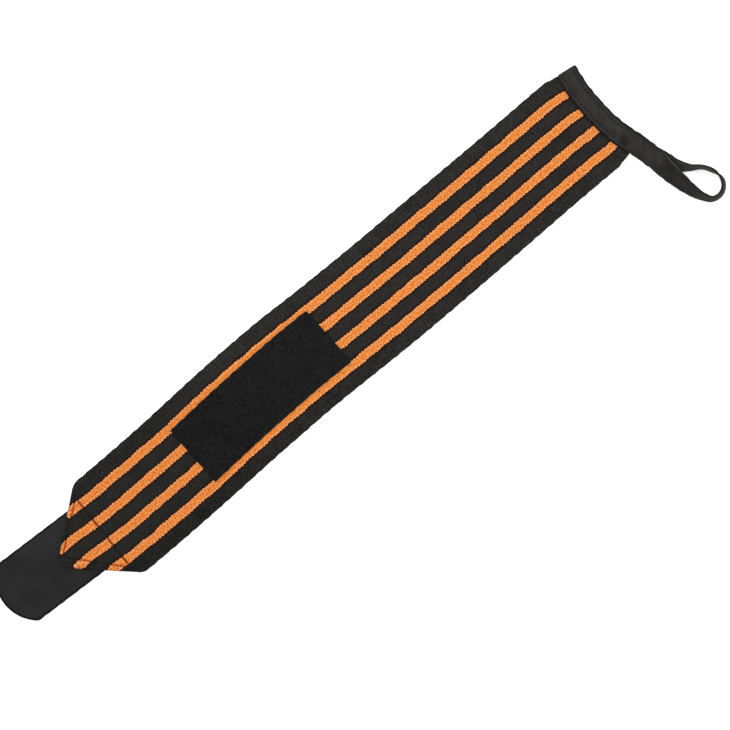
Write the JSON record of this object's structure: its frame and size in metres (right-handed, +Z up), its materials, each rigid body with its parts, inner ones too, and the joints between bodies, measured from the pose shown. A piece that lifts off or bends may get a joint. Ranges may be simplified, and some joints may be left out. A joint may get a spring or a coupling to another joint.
{
  "type": "elastic wrist wrap with thumb loop",
  "caption": "Striped elastic wrist support band laid flat, with a folded point and hook tab at one end, a loop patch on top and a twisted thumb loop at the other end.",
  "frame": {"origin": "on the flat underside of the band, midway along the band between its folded point and its square end, on its middle line", "axes": "+X along the band towards the thumb loop, +Y across the band away from the thumb loop, +Z up from the surface that the wrap lies on"},
  "size_m": [0.5506, 0.1344, 0.0145],
  "materials": {
    "band_elastic": "ribbed woven elastic, black with lengthwise orange stripes",
    "hook_tape": "plain woven hook tape, black",
    "loop_nap": "napped loop pile, black",
    "thumb_tape": "ribbed narrow tape, black"
  },
  "bodies": {
    "root": {"elastic_band": "band_elastic", "hook_tab": "hook_tape", "loop_patch": "loop_nap", "thumb_loop": "thumb_tape"}
  },
  "joints": []
}
